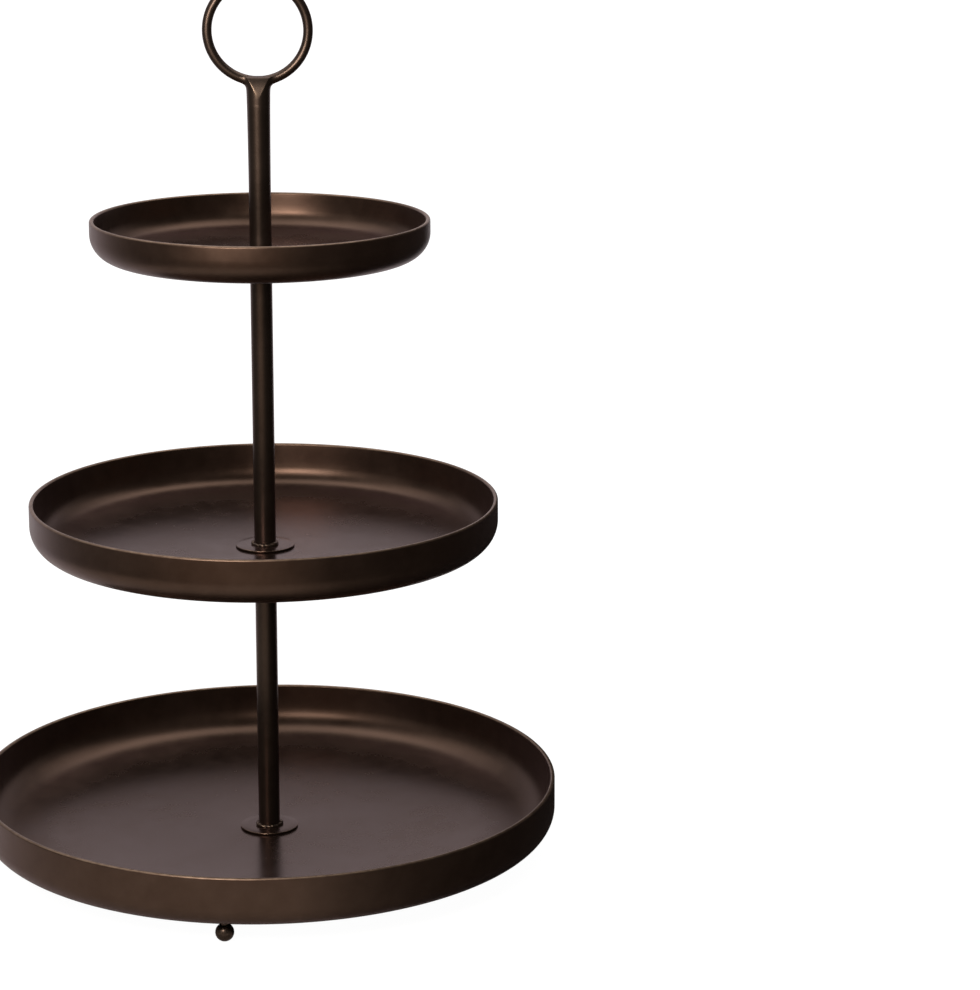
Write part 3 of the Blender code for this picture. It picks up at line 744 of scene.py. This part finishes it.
def add_neck(name, node):
    """The skin where stem and rod run together, found along rays from the axis at even heights and angles.

    With s and t the distances outside the filed stem and the rod, the joint distance is
    -k log(exp(-s / k) + exp(-t / k)), which fills the corner between them by about three times the blend k.
    The facet's half width grows evenly from its tip, so its depth is sqrt(stem**2 - width**2), and it goes
    on in front of the rod nearly to the ring's inner edge. Halving each ray's span again and again closes in
    on the skin. The rod is taken a hair thinner, so away from the stem the skin lies inside the ring, and
    the stem a hair wider, so the skin laps over the tube's end.
    """
    tube_radius, _, tube_top = reach_of("upper_stem")
    rod, bend, middle = ring_sizes("handle_ring")
    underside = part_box("handle_ring")[0].z
    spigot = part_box(node)[0].z
    foot = tube_top - NECK_LAP
    height = np.linspace(foot, underside + NECK_TOP * rod, NECK_ROWS)[:, None]
    angle = np.linspace(0.0, math.tau, NECK_SIDES, endpoint=False)[None, :]
    stem = tube_radius * flare(height, tube_top) + NECK_COVER / 2
    width = FACET_SPREAD * np.clip(height - underside + FACET_TIP, 0.0, None)
    facet = np.sqrt(np.maximum(stem**2 - width**2, rod**2))
    web_top = underside + WEB_TOP * rod
    low = np.zeros((NECK_ROWS, NECK_SIDES))
    high = low + NECK_REACH
    for _ in range(HALVINGS):
        ray = (low + high) / 2
        across = ray * np.cos(angle)
        depth = ray * np.sin(angle)
        filed = np.maximum(np.maximum(ray - stem, np.abs(depth) - facet), height - web_top)
        bent = np.hypot(np.hypot(across, height - middle) - bend, depth) - rod + NECK_COVER
        inside = np.logaddexp(-filed / NECK_BLEND, -bent / NECK_BLEND) > 0
        low = np.where(inside, ray, low)
        high = np.where(inside, high, ray)
    skin = np.stack([across, depth, height + 0 * angle], axis=-1)
    off_edge = np.abs(np.hypot(across, depth) - stem) + np.abs(np.abs(depth) - facet)
    # Wear on every edge of the facet, and on the front left edge, which faces the lamps, a painted highlight
    # too.
    rub_and_highlight = np.where((across < 0) & (depth < 0), LIT_SIDE_WEAR_AND_HIGHLIGHT, OTHER_SIDES) * np.clip(width / rod, 0.0, 1.0)
    worn_and_highlit = np.exp(-((off_edge / FACET_WEAR_AND_HIGHLIGHT_WIDTH) ** 2)) * rub_and_highlight
    bore = tube_radius - TUBE_WALL
    core = turned(np.array([(0.0, spigot), (bore, spigot), (bore, foot)]), NECK_SIDES)
    cap = np.broadcast_to(np.array([0.0, 0.0, height[-1, 0]]), (1, NECK_SIDES, 3))
    wear_and_highlight = np.vstack([np.zeros((len(core), NECK_SIDES)), worn_and_highlit, np.zeros((len(cap), NECK_SIDES))])
    return dress(add_surface(name, np.concatenate([core, skin, cap]), False, wear_and_highlight), node)


add_neck("neck", "handle_neck")

# %% [markdown]
# ## Ball feet
#
# A foot is a turned ball with a small flat to stand on, on a short peg under the dish's edge. A ready
# sphere would have neither the flat nor the socket for the peg. The ball's outline runs from the middle of
# its flat up a circle to the mouth of the peg's socket, and down into it, so it begins and ends on the
# axis. The ball is half a millimetre larger in radius than its solid, as the photograph shows it.

# %% Ball feet
BALL_SIDES = 64
BALL_STEPS = 40
BALL_FLAT = 0.0015
BALL_FULLER = 0.0010
SOCKET_DEPTH = 0.004
SOCKET_SLIP = 0.0003
PEG_EDGE = 0.0003
FEET = ("front", "left", "right")


def axis_of(node):
    """Where the upright axis of a node stands, from its CAD box."""
    low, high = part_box(node)
    return (low.x + high.x) / 2, (low.y + high.y) / 2


def add_ball(name, node, peg_node):
    """Turns the arc of a circle from the edge of the flat to the mouth of the socket.

    The circle's middle is as far from the flat's edge as from the mouth's: (height**2 + mouth**2 - flat**2)
    over twice the height. The arc goes from -arccos(flat / R) to arccos(mouth / R).
    """
    _, low, high = reach_of(node)
    socket = reach_of(peg_node)[0] + SOCKET_SLIP
    mouth = socket + SOCKET_SLIP
    height = high - low + BALL_FULLER
    middle = (height**2 + mouth**2 - BALL_FLAT**2) / (2 * height)
    ball = math.hypot(middle, BALL_FLAT)
    sweep = np.linspace(-math.acos(BALL_FLAT / ball), math.acos(mouth / ball), BALL_STEPS)
    arc = np.stack([ball * np.cos(sweep), low + middle + ball * np.sin(sweep)], axis=-1)
    top = low + height
    floor = top - SOCKET_DEPTH
    outline = np.vstack([[(0.0, low)], arc, [(socket, top), (socket, floor), (0.0, floor)]])
    return dress(add_surface(name, turned(outline, BALL_SIDES, axis_of(peg_node))), node)


def add_peg(name, node):
    """A short round pin with a broken lower edge, closed on the axis at both ends."""
    radius, low, high = reach_of(node)
    corners = [(0.0, low), (radius - PEG_EDGE, low), (radius, low + PEG_EDGE), (radius, high), (0.0, high)]
    return dress(add_surface(name, turned(np.array(corners), BALL_SIDES, axis_of(node))), node)


for place in FEET:
    add_ball(f"ball_{place}", f"foot_ball_{place}", f"foot_peg_{place}")
    add_peg(f"peg_{place}", f"foot_peg_{place}")

# %% [markdown]
# ## Threads
#
# Each section ends below in an M6 stud that screws into a threaded insert in the tube under it. They show
# when a section is unscrewed. A Screw modifier could wind a notch up the stud, but stud and insert have to
# fit together at every turn, so both threads follow one formula. At height z and angle a the screw has made
# (z - start) / pitch - a / turn turns, and the part of that number after the point says where on the ridge
# the surface is. The ridge rises over one flank, stays on its crest and falls again.

# %% Thread formula
PITCH = 0.001
THREAD_RADIUS = 0.003
THREAD_DEPTH = 0.00055
THREAD_FLANK = THREAD_DEPTH * math.tan(math.radians(30))
THREAD_CREST = 0.00012
THREAD_TURNS = 7
THREAD_FADE = 6
THREAD_LEAD_IN = 0.0002
THREAD_LENGTH = PITCH * (THREAD_TURNS + 1) + 2 * THREAD_LEAD_IN
THREAD_PLAY = 0.00025
THREAD_SIDES = 48
ROWS_PER_TURN = 16
THREAD_ROWS = int(THREAD_LENGTH / PITCH * ROWS_PER_TURN)


def ridge(height, angle, start):
    """0 at the thread's root and 1 on its crest, faded in and out over a sixth of a turn at its ends."""
    turn = (height - start) / PITCH - angle / math.tau
    along = np.mod(turn, 1.0) * PITCH
    slope = np.minimum(along, 2 * THREAD_FLANK + THREAD_CREST - along) / THREAD_FLANK
    fade = np.clip(turn * THREAD_FADE, 0.0, 1.0) * np.clip((THREAD_TURNS - turn) * THREAD_FADE, 0.0, 1.0)
    return np.clip(slope, 0.0, 1.0) * fade


def threaded(before, root, low, after, grow):
    """Rows of (radius, height) before and after a thread of that root radius, carried round with the ridge.

    Over the thread, the radius is root + grow * ridge: grow is positive on a screw and negative in a nut.
    """
    angle = np.linspace(0.0, math.tau, THREAD_SIDES, endpoint=False)
    height = np.linspace(low, low + THREAD_LENGTH, THREAD_ROWS)[:, None]
    radius = root + grow * ridge(height, angle, low + THREAD_LEAD_IN)
    thread = np.stack([radius * np.cos(angle), radius * np.sin(angle), height + 0 * angle], axis=-1)
    ends = [turned(np.array(rows), THREAD_SIDES) for rows in (before, after)]
    return np.concatenate([ends[0], thread, ends[1]])


print("thread length in mm:", round(THREAD_LENGTH * 1000, 2), "rows:", THREAD_ROWS)

# %% [markdown]
# The insert is a bush with the thread inside, the plug is a plain bush that holds the stud, and the stud
# has the thread on its lower half. Each is one run of rows, so that thread, ends and shank are one closed
# skin.

# %% Inserts, plugs and studs
INSERT_NODES = ("lower_bottom_insert", "lower_top_insert", "middle_top_insert")
BUSH_EDGE = 0.0002
TIP_LENGTH = 0.0006
TIP_DRAFT = 0.0004
SEAT_GAP = 0.0003
PLUG_SIDES = 64


def add_insert(name, node):
    """A bush with the thread inside. Its rows go on from the thread's top over the outside to its foot."""
    bush, low, high = reach_of(node)
    root = THREAD_RADIUS + THREAD_PLAY
    thread_low = low + (high - low - THREAD_LENGTH) / 2
    outside = [
        (root, high - BUSH_EDGE),
        (root + BUSH_EDGE, high),
        (bush - BUSH_EDGE, high),
        (bush, high - BUSH_EDGE),
        (bush, low + BUSH_EDGE),
        (bush - BUSH_EDGE, low),
        (root + BUSH_EDGE, low),
        (root, low + BUSH_EDGE),
    ]
    points = threaded([(root, thread_low)], root, thread_low, outside, -THREAD_DEPTH)
    return dress(add_surface(name, points, True), node)


def add_stud(name, node, tube_below):
    """A pointed tip, the thread, a neck and a plain shank with a broken edge, closed at both ends."""
    _, low, high = reach_of(node)
    root = THREAD_RADIUS - THREAD_DEPTH
    thread_low = low + TIP_LENGTH
    shank = max(thread_low + THREAD_LENGTH + THREAD_LEAD_IN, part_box(tube_below)[1].z + SEAT_GAP)
    tip = [(0.0, low), (root - TIP_DRAFT, low), (root, thread_low)]
    above = [
        (root, shank),
        (THREAD_RADIUS, shank + BUSH_EDGE),
        (THREAD_RADIUS, high - BUSH_EDGE),
        (THREAD_RADIUS - BUSH_EDGE, high),
        (0.0, high),
    ]
    return dress(add_surface(name, threaded(tip, root, thread_low, above, THREAD_DEPTH)), node)


for node in INSERT_NODES:
    add_insert(f"{node}_threaded", node)
for section, below in (("middle", "lower"), ("upper", "middle")):
    add_plate(f"plug_{section}", f"{section}_plug", BUSH_EDGE, THREAD_RADIUS + SEAT_GAP, PLUG_SIDES)
    add_stud(f"stud_{section}", f"{section}_stud", f"{below}_stem")

# %% [markdown]
# The screw under the bottom dish has a low round head with a six-sided socket. A boolean could cut the
# socket, but the turned grid only needs another radius there: the half width across flats divided by the
# cosine of the angle to the nearest flat. A plain washer lies between head and dish.

# %% Base screw and washer
HEAD_HEIGHT = 0.0033
HEAD_ROUND = 0.0012
HEAD_STEPS = 8
HEX_FLATS = 6
HEX_HALF_WIDTH = 0.002
HEX_DEPTH = 0.002
WASHER_BORE = 0.0034
WASHER_SIDES = 96


def add_base_screw(name, node):
    """The socket's floor and wall, the head, the shank and the thread, in one run from axis to axis."""
    head_radius, low, high = reach_of(node)
    root = THREAD_RADIUS - THREAD_DEPTH
    seat = low + HEAD_HEIGHT
    thread_low = high - TIP_LENGTH - THREAD_LENGTH
    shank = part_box("lower_stem")[0].z - SEAT_GAP
    bend = np.linspace(0.0, math.pi / 2, HEAD_STEPS)
    dome_radius = head_radius - HEAD_ROUND * (1 - np.sin(bend))
    dome = np.stack([dome_radius, low + HEAD_ROUND * (1 - np.cos(bend))], axis=-1)
    pit = low + HEX_DEPTH
    socket = [(0.0, pit), (HEX_HALF_WIDTH, pit), (HEX_HALF_WIDTH, low)]
    body = [(head_radius, seat), (THREAD_RADIUS, seat), (THREAD_RADIUS, shank), (root, shank)]
    before = np.vstack([socket, dome, body])
    points = threaded(before, root, thread_low, [(root - TIP_DRAFT, high), (0.0, high)], THREAD_DEPTH)
    angle = np.linspace(0.0, math.tau, THREAD_SIDES, endpoint=False)
    flat = math.tau / HEX_FLATS
    six_sided = 1 / np.cos(np.mod(angle + flat / 2, flat) - flat / 2)
    points[: len(socket), :, :2] *= six_sided[None, :, None]
    return dress(add_surface(name, points), node)


add_base_screw("screw_base", "base_screw")
add_plate("washer_base", "base_washer", WASHER_EDGE, WASHER_BORE, WASHER_SIDES)

# %% [markdown]
# ## Studio
#
# A product photograph of dark metal is lit by what the metal mirrors. The dish floors mirror the backdrop
# at a low angle and show it as a soft grey. The upright walls and the stem mirror what lies in front: the
# warm far part of the table and a glow high on the left. Glows on the ceiling, weak in the middle and
# stronger at its sides, make the bands in the dishes' inner corners. Lamps could do all this, but what is
# far away is simpler as a function of direction: a base light, a backdrop that fades upward, and glows that
# grow with the cosine between the direction and an aim. The camera sees white instead, as in a picture that
# was cut out.

# %% Room
# A glow has an aim, the cosines where it starts and where it is full, and its light at those two.
ROOM_BASE = 0.18
BACKDROP = ((0.0, 1.0, 0.0), 0.15, 0.75, 0.0, 0.62)
BACKDROP_FADE = ((0.0, 0.0, 1.0), 0.345, 0.485, 1.0, 0.15)
TABLE_FRONT = ((-0.28, -0.93, -0.25), 0.78, 0.97, 0.0, 0.32)
TABLE_WARMTH = ((-0.28, -0.93, -0.25), 0.70, 0.92, 0.0, 1.0)
ROOM_COLOUR = (1.0, 0.985, 0.965)
TABLE_COLOUR = (1.0, 0.80, 0.64)
LEFT_GLOW = ((-0.58, -0.60, 0.55), 0.80, 0.97, 0.0, 0.6)
CEILING = ((0.0, 0.12, 0.99), 0.78, 0.99, 0.0, 0.65)
CEILING_LEFT = ((-0.52, 0.18, 0.83), 0.84, 0.98, 0.0, 1.7)
CEILING_RIGHT = ((0.52, 0.18, 0.83), 0.84, 0.98, 0.0, 1.4)
WHITE = {"Color": (1.0, 1.0, 1.0, 1.0), "Strength": 1.15}


def towards(tree, place, aim, start, full, low, high):
    """Goes from low to high as the cosine between the direction and the aim goes from start to full."""
    cosine = add_node(tree, "ShaderNodeVectorMath", {1: Vector(aim).normalized()}, operation="DOT_PRODUCT")
    tree.links.new(place.outputs["Generated"], cosine.inputs[0])
    return remap(tree, cosine.outputs["Value"], start, full, low, high)


def mix_shaders(tree, share, first, second):
    """Goes from the first shader to the second as share goes from 0 to 1."""
    made = add_node(tree, "ShaderNodeMixShader")
    for socket, source in zip(made.inputs, (share, first, second)):
        tree.links.new(source, socket)
    return made.outputs[0]


def show_white(tree, kind, share, seen):
    """Mixes pure white into a shader by a share that counts for the camera alone."""
    white = add_node(tree, kind, WHITE)
    path = add_node(tree, "ShaderNodeLightPath")
    to_camera = combine(tree, "MULTIPLY", path.outputs["Is Camera Ray"], share)
    return mix_shaders(tree, to_camera, seen, white.outputs[0])


def add_room():
    """The room's light by direction, and white where the camera looks past the floor."""
    world = bpy.data.worlds.new("room")
    world.use_nodes = True
    tree = world.node_tree
    place = add_node(tree, "ShaderNodeTexCoord")
    fade = towards(tree, place, *BACKDROP_FADE)
    light = combine(tree, "MULTIPLY", towards(tree, place, *BACKDROP), fade)
    light = combine(tree, "ADD", light, ROOM_BASE)
    for glow in (TABLE_FRONT, LEFT_GLOW, CEILING, CEILING_LEFT, CEILING_RIGHT):
        light = combine(tree, "ADD", light, towards(tree, place, *glow))
    room = tree.nodes["Background"]
    tree.links.new(light, room.inputs["Strength"])
    warmth = towards(tree, place, *TABLE_WARMTH)
    tree.links.new(blend_colours(tree, warmth, ROOM_COLOUR, TABLE_COLOUR), room.inputs["Color"])
    shown = show_white(tree, "ShaderNodeBackground", 1.0, room.outputs[0])
    tree.links.new(shown, tree.nodes["World Output"].inputs["Surface"])
    bpy.context.scene.world = world


add_room()
print("room:", bpy.context.scene.world.name)

# %% [markdown]
# The stand is on a plain pale table top. A plane would do, but a disc has no corner to show in the metal.
# The camera sees it nearly white, with a faint shadow, and the metal mirrors its true, duller tone.

# %% Table top
FLOOR_RADIUS = 0.55
FLOOR_DROP = 0.0003
FLOOR_RINGS = 13
FLOOR_SIDES = 96
FLOOR_NOISE = (3.0, 2.0, 0.5)
FLOOR_SHADES = ((0.51, 0.50, 0.48), (0.55, 0.54, 0.52))
FLOOR_ROUGHNESS = 0.9
FLOOR_WHITE_SHARE = 0.85


def add_floor():
    """A disc under the feet, as a grid of rings that closes on its middle."""
    rings = np.linspace(0.0, FLOOR_RADIUS, FLOOR_RINGS)
    outline = np.stack([rings, np.full(FLOOR_RINGS, -FLOOR_DROP)], axis=-1)
    floor = add_surface("floor", turned(outline, FLOOR_SIDES))
    if floor.data.polygons[0].normal.z < 0:
        floor.data.flip_normals()
    material, tree, shader, place = new_finish("pale_table", 0.0)
    tint = shade_by(tree, add_noise(tree, place, *FLOOR_NOISE), NOISE_MOST, FLOOR_SHADES)
    tree.links.new(tint, shader.inputs["Base Color"])
    shader.inputs["Roughness"].default_value = FLOOR_ROUGHNESS
    shown = show_white(tree, "ShaderNodeEmission", FLOOR_WHITE_SHARE, shader.outputs[0])
    tree.links.new(shown, tree.nodes["Material Output"].inputs["Surface"])
    floor.data.materials.append(material)
    floor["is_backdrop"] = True
    return floor


print("table top, faces:", len(add_floor().data.polygons))

# %% [markdown]
# A dark card stands close round the right side, so the metal mirrors it there and stays a deep brown. A
# card with a plain edge would show as a hard line down the stem, so it is gauze at its front edge and
# closes bit by bit. Its foot lies on the table under the dish's edge. It shows in mirror images alone:
# the camera doesn't see it, and it throws no shadow.

# %% Dark card
CARD_RADIUS = 0.235
CARD_START = math.radians(5)
CARD_END = math.radians(128)
CARD_THICKENING = (math.radians(13), math.radians(42))
CARD_HEIGHT = 0.75
CARD_FOOT = 0.19
CARD_LIFT = 0.0004
CARD_ROWS = 9
CARD_COLUMNS = 63
FELT_NAP = (400.0, 3.0, 0.6)
FELT_SHADES = ((0.016, 0.013, 0.011), (0.024, 0.020, 0.017))
FELT_ROUGHNESS = 0.95


def add_card():
    """Part of an upright cylinder, whose cover at each point is 1 - exp(-turn / thickening).

    The turn is the angle from the front edge, and the thickening angle grows with the height. The last cell
    of each row would close the ring, so it is left out.
    """
    height = np.append(CARD_LIFT, np.linspace(CARD_LIFT, CARD_HEIGHT, CARD_ROWS))[:, None]
    radius = np.append(CARD_FOOT, np.full(CARD_ROWS, CARD_RADIUS))[:, None]
    angle = np.linspace(CARD_START, CARD_END, CARD_COLUMNS)[None, :] + 0 * height
    points = np.stack([radius * np.sin(angle), -radius * np.cos(angle), height + 0 * angle], axis=-1)
    cells = grid_cells(*angle.shape, False).reshape(-1, CARD_COLUMNS, 4)[:, :-1].reshape(-1, 4)
    mesh = bpy.data.meshes.new("dark_card")
    mesh.from_pydata(points.reshape(-1, 3), [], cells)
    thickening = np.interp(height, (0.0, CARD_HEIGHT), CARD_THICKENING)
    cover = (1 - np.exp((CARD_START - angle) / thickening)).astype(np.float32)
    mesh.attributes.new("cover", "FLOAT", "POINT").data.foreach_set("value", cover.ravel())
    card = bpy.data.objects.new("dark_card", mesh)
    bpy.context.scene.collection.objects.link(card)
    material, tree, shader, place = new_finish("dark_felt", 0.0)
    nap = shade_by(tree, add_noise(tree, place, *FELT_NAP), NOISE_MOST, FELT_SHADES)
    tree.links.new(nap, shader.inputs["Base Color"])
    shader.inputs["Roughness"].default_value = FELT_ROUGHNESS
    covered = add_node(tree, "ShaderNodeAttribute", attribute_name="cover").outputs["Fac"]
    clear = add_node(tree, "ShaderNodeBsdfTransparent").outputs[0]
    gauze = mix_shaders(tree, covered, clear, shader.outputs[0])
    tree.links.new(gauze, tree.nodes["Material Output"].inputs["Surface"])
    mesh.materials.append(material)
    for kind in ("camera", "shadow", "diffuse"):
        setattr(card, f"visible_{kind}", False)
    card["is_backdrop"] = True
    return card


print("dark card, faces:", len(add_card().data.polygons))

# %% [markdown]
# Two lamps light the stand itself. A large soft panel overhead draws the line along each rim, and a small
# warm softbox near the stand, in front on the left, draws the highlights on the walls and the stem. Spot
# lamps would leave hard shadows and burnt points on metal, so both are soft rectangles.

# %% Lights
# A panel has a place, an aim, a width and a height, a power in watts and a colour.
PANELS = {
    "overhead_panel": ((0.10, 0.75, 2.4), (0.10, 0.7501, 0.0), (2.2, 3.6), 30.0, (1.0, 0.99, 0.97)),
    "front_softbox": ((-0.37, -0.95, 0.74), (0.0, 0.0, 0.36), (0.45, 0.35), 11.0, (1.0, 0.93, 0.86)),
}


def add_panel(name, place, aim, size, power, colour):
    """A rectangular soft light at a place, turned towards a point."""
    light = bpy.data.lights.new(name, "AREA")
    light.color = colour
    light.shape = "RECTANGLE"
    light.size, light.size_y = size
    light.energy = power
    panel = bpy.data.objects.new(name, light)
    panel.location = place
    panel.rotation_euler = (Vector(aim) - Vector(place)).to_track_quat("-Z", "Y").to_euler()
    panel.visible_camera = False
    bpy.context.scene.collection.objects.link(panel)
    return panel


for name, settings in PANELS.items():
    add_panel(name, *settings)
bpy.context.scene.view_settings.view_transform = "Standard"
print("lights:", [item.name for item in bpy.data.lights])

# %% Compare the boxes
look_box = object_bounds()
growth = (look_box[1] - look_box[0]) - (cad_box[1] - cad_box[0])
print("grown by mm:", [round(side * 1000, 2) for side in growth])
